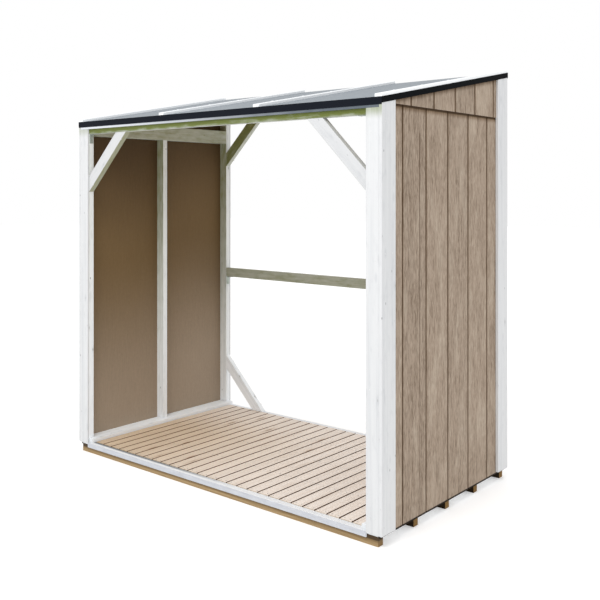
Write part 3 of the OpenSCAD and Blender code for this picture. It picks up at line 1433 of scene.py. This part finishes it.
def write_grain(work: bmesh.types.BMesh, run: Vector, seed: str) -> None:
    """Gives each solid of a mesh its own board coordinates.

    Args:
        work: The mesh.
        run: The direction of the grain.
        seed: What the boards' differences are drawn from.
    """
    luck = random.Random(seed)
    grain = work.verts.layers.float_vector.new(GRAIN)
    tone = work.verts.layers.float.new(TONE)
    cut = work.faces.layers.float.new(END_CUT)
    work.normal_update()
    axes = board_axes(run)
    for group in islands(work):
        low, high = corners(v.co for v in group)
        middle = (low + high) / 2
        chance = luck.random()
        shift = luck.uniform(0.0, 40.0)
        for vert in group:
            local = vert.co - middle
            along, side, depth = (local.dot(axis) for axis in axes)
            vert[grain] = (along + shift, side, depth)
            vert[tone] = chance
    facing = work.faces.layers.float_vector.new(FACING)
    for face in work.faces:
        face[cut] = 1.0 if abs(face.normal.dot(run)) > END_FACE else 0.0
        face[facing] = face.normal


def planed(
    node: str,
    run: Run,
    finish: bpy.types.Material,
    radius: float = 1.6 * MM,
    name: str | None = None,
) -> bpy.types.Object:
    """Makes a rounded timber or trim from a CAD node and puts it in the node's place.

    Args:
        node: The CAD node.
        run: The direction of the grain.
        finish: The material.
        radius: The radius of the edges.
        name: The piece's name, if it isn't the node's.

    Returns:
        The piece.
    """
    work = merged(node)
    sharp = [e for e in work.edges if len(e.link_faces) == 2 and e.calc_face_angle() > SHARP_EDGE]
    bmesh.ops.bevel(
        work, geom=sharp, offset=radius, segments=2, profile=0.5, affect="EDGES", clamp_overlap=True
    )
    write_grain(work, run.value, node)
    mesh = bpy.data.meshes.new(name or f"{node}_timber")
    work.to_mesh(mesh)
    work.free()
    mesh.materials.append(finish)
    return settle(new_object(mesh.name, mesh), [node])


@dataclass(frozen=True)
class BoardRow:
    """Boards side by side, in their own axes: X across them, +Y out of their faces, +Z along them."""

    name: str
    count: int
    pitch: float
    width: float
    thickness: float
    length: float
    seed: int
    first: float = 0.0
    low: float = BEFORE
    high: float = FAR
    face_edge: float = 0.0
    back_edge: float = 0.0
    end_slope: float = 0.0

    def lay(self, tree: Layout, place: Matrix, finish: bpy.types.Material) -> bpy.types.Object:
        """Lays the boards.

        Args:
            tree: The tree that lays boards.
            place: Where the row goes.
            finish: The material.

        Returns:
            The row as one plain mesh.
        """
        row = new_object(self.name, bpy.data.meshes.new(self.name))
        tree.apply(
            row,
            {
                "Count": self.count,
                "Pitch": self.pitch,
                "First": self.first,
                "Width": self.width,
                "Thickness": self.thickness,
                "Length": self.length,
                "Face edge": self.face_edge,
                "Back edge": self.back_edge,
                "Low": self.low,
                "High": self.high,
                "End slope": self.end_slope,
                "Seed": self.seed,
                "Material": finish,
            },
        )
        row.data.transform(place)
        if place.to_3x3().determinant() < 0:
            row.data.flip_normals()
        row.data.name = self.name
        return row


def frame_of(x: Vector, y: Vector, z: Vector, origin: Vector) -> Matrix:
    """Gives the matrix that puts a row's axes along three directions from an origin."""
    turn = Matrix((x, y, z)).transposed().to_4x4()
    return Matrix.Translation(origin) @ turn


@dataclass
class ScrewSet:
    """Screw heads of one kind, gathered place by place."""

    name: str
    radius: float
    height: float
    seed: int
    places: list[tuple[Vector, Vector]] = field(default_factory=list)

    def add(self, spot: Vector, aim: Vector) -> None:
        """Adds a screw at a spot on a surface, facing along aim."""
        self.places.append((spot, aim))

    def drive(self, tree: Layout, finish: bpy.types.Material, slot: str) -> bpy.types.Object:
        """Makes all the heads.

        Args:
            tree: The tree that sets screw heads.
            finish: The material.
            slot: Not used.

        Returns:
            The heads as one plain mesh.
        """
        mesh = bpy.data.meshes.new(self.name)
        mesh.from_pydata([spot for spot, _ in self.places], [], [])
        layer = mesh.attributes.new(AIM, "FLOAT_VECTOR", "POINT")
        layer.data.foreach_set("vector", [c for _, aim in self.places for c in aim])
        heads = new_object(self.name, mesh)
        values = {"Radius": self.radius, "Height": self.height, "Seed": self.seed, "Material": finish}
        tree.apply(heads, values)
        return settle(heads)


# ------------------------------------------------------------------ sub-assemblies


@dataclass
class Shop:
    """What every sub-assembly is built with."""

    finishes: Finishes
    boards: Layout
    screws: Layout
    board_screws: ScrewSet


@dataclass
class FloorDeck:
    """Bearers, floor boards, their screws and the nosings."""

    board_edge: float = 2.2 * MM
    screw_radius: float = 3.2 * MM
    screw_height: float = 0.25 * MM
    screw_inset: float = 16 * MM
    bearers: int = 5
    bearer_edge: float = 1.2 * MM
    board_seed: int = 11
    screw_seed: int = 3

    def build(self, shop: Shop) -> None:
        """Builds the floor.

        Args:
            shop: The tools and finishes.
        """
        for index in range(1, self.bearers + 1):
            finish = shop.finishes.bearer_pine if index == 1 else shop.finishes.hidden_pine
            planed(f"bearer_{index}", Run.ACROSS, finish, self.bearer_edge)
        for end in ("front", "rear"):
            planed(f"{end}_sill", Run.ACROSS, shop.finishes.sill_paint)
        self.lay_boards(shop)
        self.screw_down(shop)

    def lay_boards(self, shop: Shop) -> None:
        """Lays the floor boards over the bearers.

        Args:
            shop: The tools and finishes.
        """
        boards = solid_boxes("floor_boards")
        low, high = boards[0]
        row = BoardRow(
            "floor_planks",
            count=len(boards),
            pitch=(boards[-1][0].x - low.x) / (len(boards) - 1),
            width=high.x - low.x,
            thickness=high.z - low.z,
            length=high.y - low.y,
            seed=self.board_seed,
            face_edge=self.board_edge,
            back_edge=self.board_edge * 0.5,
        )
        place = frame_of(Run.ACROSS.value, Run.UPRIGHT.value, Run.DEEP.value, low)
        settle(row.lay(shop.boards, place, shop.finishes.decking), ["floor_boards"])

    def screw_down(self, shop: Shop) -> None:
        """Screws each board to each bearer.

        Args:
            shop: The tools and finishes.
        """
        heads = ScrewSet("floor_screws", self.screw_radius, self.screw_height, self.screw_seed)
        for index in range(1, self.bearers + 1):
            low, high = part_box(f"bearer_{index}")
            y = (low.y + high.y) / 2
            for board_low, board_high in solid_boxes("floor_boards"):
                y = min(max(y, board_low.y + self.screw_inset), board_high.y - self.screw_inset)
                for x in (board_low.x + self.screw_inset, board_high.x - self.screw_inset):
                    heads.add(Vector((x, y, board_high.z)), Run.UPRIGHT.value)
        heads.drive(shop.screws, shop.finishes.screw_zinc, "bracket_steel")


@dataclass
class SideWall:
    """One side wall: its frame, its grooved boards and its corner boards."""

    side: str
    groove: float = 5.2 * MM
    board_pitch: float = 203.8 * MM
    lower_joint: float = -417 * MM
    gable_joint: float = -351 * MM
    slope: float = 0.0
    screw_columns: tuple[float, float] = (0.25, 0.75)
    wall_seed: int = 21
    gable_seed: int = 22

    @property
    def sign(self) -> int:
        """Gives 1 on the right and -1 on the left."""
        return 1 if self.side == "right" else -1

    def build(self, shop: Shop) -> None:
        """Builds the wall.

        Args:
            shop: The tools and finishes.
        """
        paints = shop.finishes
        for part in ("front_stud", "mid_stud", "rear_stud"):
            planed(f"{self.side}_{part}", Run.UPRIGHT, paints.frame_paint)
        planed(f"{self.side}_sole_plate", Run.DEEP, paints.frame_paint)
        planed(f"{self.side}_top_rail", Run.DEEP, paints.rail_paint)
        planed(f"{self.side}_side_boards", Run.UPRIGHT, paints.board_paint)
        self.clad(shop)
        self.screw_boards(shop)

    def clad(self, shop: Shop) -> None:
        """Lays the wall sheet and the gable sheet above it.

        Args:
            shop: The tools and finishes.
        """
        half = 0.5 * self.board_pitch
        wall, gable = f"{self.side}_cladding", f"{self.side}_gable_cladding"
        low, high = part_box(wall)
        finish = GroovedSheet(
            f"{self.side}_wall_board", high.x - low.x, self.groove, half, joint=high.z, foot=low.z
        ).material()
        self.lay(shop, wall, low, high, 0.0, self.lower_joint, finish, self.wall_seed)
        low, high = self.gable_core()
        finish = GroovedSheet(
            f"{self.side}_gable_board", high.x - low.x, self.groove, half,
            eave=high.z - self.slope * low.y, slope=self.slope,
        ).material()
        self.lay(shop, gable, low, high, self.slope, self.gable_joint, finish, self.gable_seed)

    def gable_core(self) -> tuple[Vector, Vector]:
        """Gives the corners of the gable board, up to the roof at its front end.

        Returns:
            The two corners.
        """
        low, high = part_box(f"{self.side}_gable_cladding")
        top_front = high.z - self.slope * (high.y - low.y)
        return low, Vector((high.x, high.y, top_front))

    def lay(
        self,
        shop: Shop,
        node: str,
        low: Vector,
        high: Vector,
        slope: float,
        joint: float,
        finish: bpy.types.Material,
        seed: int,
    ) -> None:
        """Lays a sheet's boards between its ends, with their joints in step.

        Args:
            shop: The tools and finishes.
            node: The CAD node.
            low: The sheet's lowest corner.
            high: Its highest corner, at its front end.
            slope: How its top rises to the back.
            joint: The Y of its first groove.
            finish: The material.
            seed: The seed of the boards' differences.
        """
        first = joint - self.board_pitch - low.y
        count = math.ceil((high.y - joint) / self.board_pitch) + 1
        row = BoardRow(
            f"{node}_boards",
            count=count,
            pitch=self.board_pitch,
            width=self.board_pitch,
            thickness=high.x - low.x,
            length=high.z - low.z,
            seed=seed + self.sign,
            first=first,
            low=0.0,
            high=high.y - low.y,
            face_edge=self.groove,
            end_slope=slope,
        )
        inner = Vector((low.x if self.sign > 0 else high.x, low.y, low.z))
        place = frame_of(Run.DEEP.value, Run.ACROSS.value * self.sign, Run.UPRIGHT.value, inner)
        settle(row.lay(shop.boards, place, finish), [node])

    def screw_boards(self, shop: Shop) -> None:
        """Screws the corner boards to the studs behind them.

        Args:
            shop: The tools and finishes.
        """
        out = Run.ACROSS.value * self.sign
        for low, high in solid_boxes(f"{self.side}_side_boards"):
            x = high.x if self.sign > 0 else low.x
            for z in heights(low.z, high.z):
                for share in self.screw_columns:
                    y = low.y + share * (high.y - low.y)
                    shop.board_screws.add(Vector((x, y, z)), out)


def heights(
    low: float, high: float, inset: float = 70 * MM, headroom: float = 112 * MM, most: float = 620 * MM
) -> list[float]:
    """Spreads screw rows evenly up a board.

    Args:
        low: The board's foot.
        high: Its top.
        inset: How far the lowest row is above the foot.
        headroom: How far the highest row is below the top.
        most: The greatest distance between rows.

    Returns:
        The rows' heights.
    """
    start, stop = low + inset, high - headroom
    spans = max(1, math.ceil((stop - start) / most))
    return [start + (stop - start) * i / spans for i in range(spans + 1)]


@dataclass
class OpenFaces:
    """The open front and back: corner boards, beams, rail and braces."""

    brace_screw_inset: float = 42 * MM
    screw_columns: tuple[float, float] = (0.3, 0.75)

    def build(self, shop: Shop) -> None:
        """Builds both faces.

        Args:
            shop: The tools and finishes.
        """
        paints = shop.finishes
        for end in ("front", "rear"):
            planed(f"{end}_face_boards", Run.UPRIGHT, paints.board_paint)
            planed(f"{end}_beam", Run.ACROSS, paints.beam_paint)
            planed(f"{end}_fascia", Run.ACROSS, paints.fascia_paint)
            out = Run.DEEP.value * (-1 if end == "front" else 1)
            for low, high in solid_boxes(f"{end}_face_boards"):
                y = low.y if end == "front" else high.y
                for z in heights(low.z, high.z):
                    for share in self.screw_columns:
                        x = low.x + share * (high.x - low.x)
                        shop.board_screws.add(Vector((x, y, z)), out)
        planed("rear_mid_rail", Run.ACROSS, paints.rail_paint)
        self.set_braces(shop)

    @staticmethod
    def brace_finish(paints: Finishes, node: str) -> bpy.types.Material:
        """Picks a brace's paint: the plain front paint, olive painted shade on the upper braces under
        the rear eave, inner white on the lower ones.

        Args:
            paints: The finishes.
            node: The brace's CAD node.

        Returns:
            Its paint.
        """
        if node.startswith("front"):
            return paints.brace_paint
        return paints.olive_shade_paint if "upper" in node else paints.inner_paint

    def set_braces(self, shop: Shop) -> None:
        """Sets the six diagonal braces.

        Args:
            shop: The tools and finishes.
        """
        left_up, right_up = Run.LEANS_RIGHT, Run.LEANS_LEFT
        runs = {
            "front_left_brace": left_up,
            "front_right_brace": right_up,
            "rear_left_upper_brace": left_up,
            "rear_right_upper_brace": right_up,
            "rear_left_lower_brace": right_up,
            "rear_right_lower_brace": left_up,
        }
        for node, run in runs.items():
            planed(node, run, self.brace_finish(shop.finishes, node))
            low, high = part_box(node)
            width = high.x - low.x
            lift = high.z - low.z - width
            y, out = (low.y, -1) if node.startswith("front") else (high.y, 1)
            for reach in (self.brace_screw_inset, width - self.brace_screw_inset):
                level = reach if run is left_up else width - reach
                spot = Vector((low.x + reach, y, low.z + level + lift))
                shop.board_screws.add(spot, Run.DEEP.value * out)


@dataclass
class Roof:
    """Roof planks, sheet, ribs and folded edges."""

    slope: float
    plank: float = 95 * MM
    plank_edge: float = 2.5 * MM
    metal_edge: float = 0.6 * MM
    rib_edge: float = 4 * MM
    cap_radius: float = 5 * MM
    cap_height: float = 1.6 * MM
    cap_step: float = 300 * MM
    plank_seed: int = 31
    rib_seed: int = 41
    cap_seed: int = 7

    def build(self, shop: Shop) -> None:
        """Builds the roof.

        Args:
            shop: The tools and finishes.
        """
        coats = shop.finishes
        self.lay_planks(shop)
        planed("roof_sheet", Run.DEEP, coats.sheet_metal, self.metal_edge, "roof_pans")
        self.lay_ribs(shop)
        for node, run, finish in (
            ("front_drip_edge", Run.ACROSS, coats.edge_metal),
            ("rear_drip_edge", Run.ACROSS, coats.edge_metal),
            ("verge_trims", Run.DEEP, coats.verge_metal),
        ):
            planed(node, run, finish, self.metal_edge, f"{node}_metal")

    def lay_planks(self, shop: Shop) -> None:
        """Lays the roof planks, which run across the store.

        Args:
            shop: The tools and finishes.
        """
        low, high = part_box("roof_deck")
        depth = high.y - low.y
        count = round(depth / self.plank)
        row = BoardRow(
            "roof_planks",
            count=count,
            pitch=depth / count,
            width=depth / count,
            thickness=high.z - low.z - self.slope * depth,
            length=high.x - low.x,
            seed=self.plank_seed,
            low=0.0,
            high=depth,
            back_edge=self.plank_edge,
        )
        up_slope = Vector((0, 1, self.slope))
        place = frame_of(up_slope, Run.UPRIGHT.value, Run.ACROSS.value, low)
        settle(row.lay(shop.boards, place, shop.finishes.roof_pine), ["roof_deck"])

    def lay_ribs(self, shop: Shop) -> None:
        """Lays the ribs up the slope, with capped screws along them.

        Args:
            shop: The tools and finishes.
        """
        ribs = solid_boxes("roof_ribs")
        caps = ScrewSet("rib_screws", self.cap_radius, self.cap_height, self.cap_seed)
        up_slope = Vector((0, 1, self.slope))
        out = Run.ACROSS.value.cross(up_slope).normalized()
        for name, pair in (("outer", (ribs[0], ribs[3])), ("inner", (ribs[1], ribs[2]))):
            low, high = pair[0]
            depth = high.y - low.y
            height = high.z - low.z - self.slope * depth
            row = BoardRow(
                f"{name}_roof_ribs",
                count=len(pair),
                pitch=pair[1][0].x - low.x,
                width=high.x - low.x,
                thickness=height,
                length=depth,
                seed=self.rib_seed,
                face_edge=self.rib_edge,
            )
            place = frame_of(Run.ACROSS.value, Run.UPRIGHT.value, up_slope, low)
            settle(row.lay(shop.boards, place, shop.finishes.rib_metal), ["roof_ribs"])
            count = int(depth / self.cap_step) + 1
            for rib_low, rib_high in pair:
                x = (rib_low.x + rib_high.x) / 2
                for i in range(count):
                    run = depth * (0.5 + i) / count
                    caps.add(Vector((x, low.y + run, low.z + self.slope * run + height)), out)
        caps.drive(shop.screws, shop.finishes.rib_metal, "roof_rib")


@dataclass
class Ironmongery:
    """Angle brackets with their screws."""

    screw_radius: float = 4 * MM
    screw_height: float = 0.8 * MM
    screw_reaches: tuple[float, float] = (22 * MM, 42 * MM)
    leaf: float = 3 * MM
    edge: float = 0.7 * MM
    screw_seed: int = 9

    def build(self, shop: Shop) -> None:
        """Builds the brackets.

        Args:
            shop: The tools and finishes.
        """
        zinc = shop.finishes.zinc
        planed("angle_brackets", Run.UPRIGHT, zinc, self.edge, "zinc_brackets")
        heads = ScrewSet("bracket_screws", self.screw_radius, self.screw_height, self.screw_seed)
        for low, high in solid_boxes("angle_brackets"):
            inward = 1 if low.x < 0 else -1
            corner_x = low.x if inward > 0 else high.x
            upright_x = corner_x + self.leaf * inward
            y = (low.y + high.y) / 2
            for reach in self.screw_reaches:
                heads.add(Vector((upright_x, y, high.z - reach)), Run.ACROSS.value * inward)
                under = Vector((corner_x + inward * reach, y, high.z - self.leaf))
                heads.add(under, Run.UPRIGHT.value * -1)
        heads.drive(shop.screws, shop.finishes.screw_zinc, "bracket_steel")


@dataclass(frozen=True)
class Studio:
    """Pale floor, soft light and the camera."""

    camera_place: tuple[float, float, float] = (3.1728, -3.6609, 1.5698)
    camera_turn: float = 40.0494
    lens: float = 50.507
    shift_x: float = 0.0079
    shift_y: float = -0.1834
    sensor: float = 36.0
    floor_size: float = 60.0
    floor_level: float = -0.5 * MM
    floor_pale: Colour = (0.88, 0.88, 0.88)
    floor_grey: Colour = (0.85, 0.85, 0.85)
    floor_glow: float = 0.27
    sky: float = 1.0
    lamp_place: tuple[float, float, float] = (1.0, -3.9, 6.0)
    lamp_target: tuple[float, float, float] = (0.0, -0.1, 0.3)
    lamp_size: float = 2.6
    lamp_power: float = 155.0

    def build(self) -> None:
        """Builds the studio."""
        self.lay_floor()
        self.light()
        self.aim_camera()

    def lay_floor(self) -> None:
        """Lays the pale floor."""
        half = self.floor_size / 2
        mesh = bpy.data.meshes.new("studio_floor")
        spots = [(-half, -half), (half, -half), (half, half), (-half, half)]
        mesh.from_pydata([(x, y, self.floor_level) for x, y in spots], [], [(0, 1, 2, 3)])
        sheet = Sheet("studio_floor")
        cloud = sheet.noise(sheet.place(), 0.8, 2.0)
        mesh.materials.append(
            sheet.finish(
                {
                    "Base Color": sheet.mix(self.floor_grey, self.floor_pale, cloud),
                    "Roughness": 0.9,
                    "Specular IOR Level": 0.0,
                    "Emission Color": (1.0, 1.0, 1.0, 1.0),
                    "Emission Strength": self.floor_glow,
                }
            )
        )
        new_object("studio_floor", mesh)

    def light(self) -> None:
        """Sets an even white sky and one soft lamp in front."""
        world = bpy.data.worlds.new("studio_sky")
        world.use_nodes = True
        back = world.node_tree.nodes["Background"]
        back.inputs["Color"].default_value = (1.0, 1.0, 1.0, 1.0)
        back.inputs["Strength"].default_value = self.sky
        bpy.context.scene.world = world
        self.hang_lamp()

    def hang_lamp(self) -> None:
        """Adds the square soft lamp."""
        data = bpy.data.lights.new("front_softbox", "AREA")
        data.size = self.lamp_size
        data.energy = self.lamp_power
        lamp = bpy.data.objects.new("front_softbox", data)
        place, target = Vector(self.lamp_place), Vector(self.lamp_target)
        lamp.location = place
        lamp.rotation_euler = (target - place).to_track_quat("-Z", "Y").to_euler()
        bpy.context.scene.collection.objects.link(lamp)

    def aim_camera(self) -> None:
        """Puts the camera in place and sets plain display colours."""
        data = bpy.data.cameras.new("camera")
        data.lens = self.lens
        data.sensor_width = self.sensor
        data.shift_x = self.shift_x
        data.shift_y = self.shift_y
        camera = bpy.data.objects.new("camera", data)
        camera.location = self.camera_place
        camera.rotation_euler = (math.pi / 2, 0, math.radians(self.camera_turn))
        bpy.context.scene.collection.objects.link(camera)
        bpy.context.scene.camera = camera
        bpy.context.scene.view_settings.view_transform = "Standard"


def roof_slope() -> float:
    """Gives the roof's rise for each metre towards the back."""
    front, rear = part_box("front_drip_edge"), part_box("rear_drip_edge")
    return (rear[1].z - front[1].z) / (rear[0].y - front[1].y)


def main() -> None:
    """Builds the store's looks."""
    logging.basicConfig(level=logging.INFO, format="%(name)s: %(message)s")
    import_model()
    slope = roof_slope()
    plank_low, plank_high = solid_boxes("floor_boards")[0]
    sill_low, sill_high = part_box("front_sill")
    width = plank_high.x - plank_low.x
    finishes = Finishes(board_width=width, sill_lip=sill_low.z, seam=sill_high.y)
    board_screws = ScrewSet("board_screws", radius=3.6 * MM, height=0.35 * MM, seed=5)
    shop = Shop(finishes, board_layout(), screw_layout(), board_screws)
    FloorDeck().build(shop)
    for side in ("left", "right"):
        SideWall(side, slope=slope).build(shop)
    OpenFaces().build(shop)
    Roof(slope).build(shop)
    Ironmongery().build(shop)
    shop.board_screws.drive(shop.screws, shop.finishes.screw_paint, "bracket_steel")
    Studio().build()


if __name__ == "__main__":
    main()
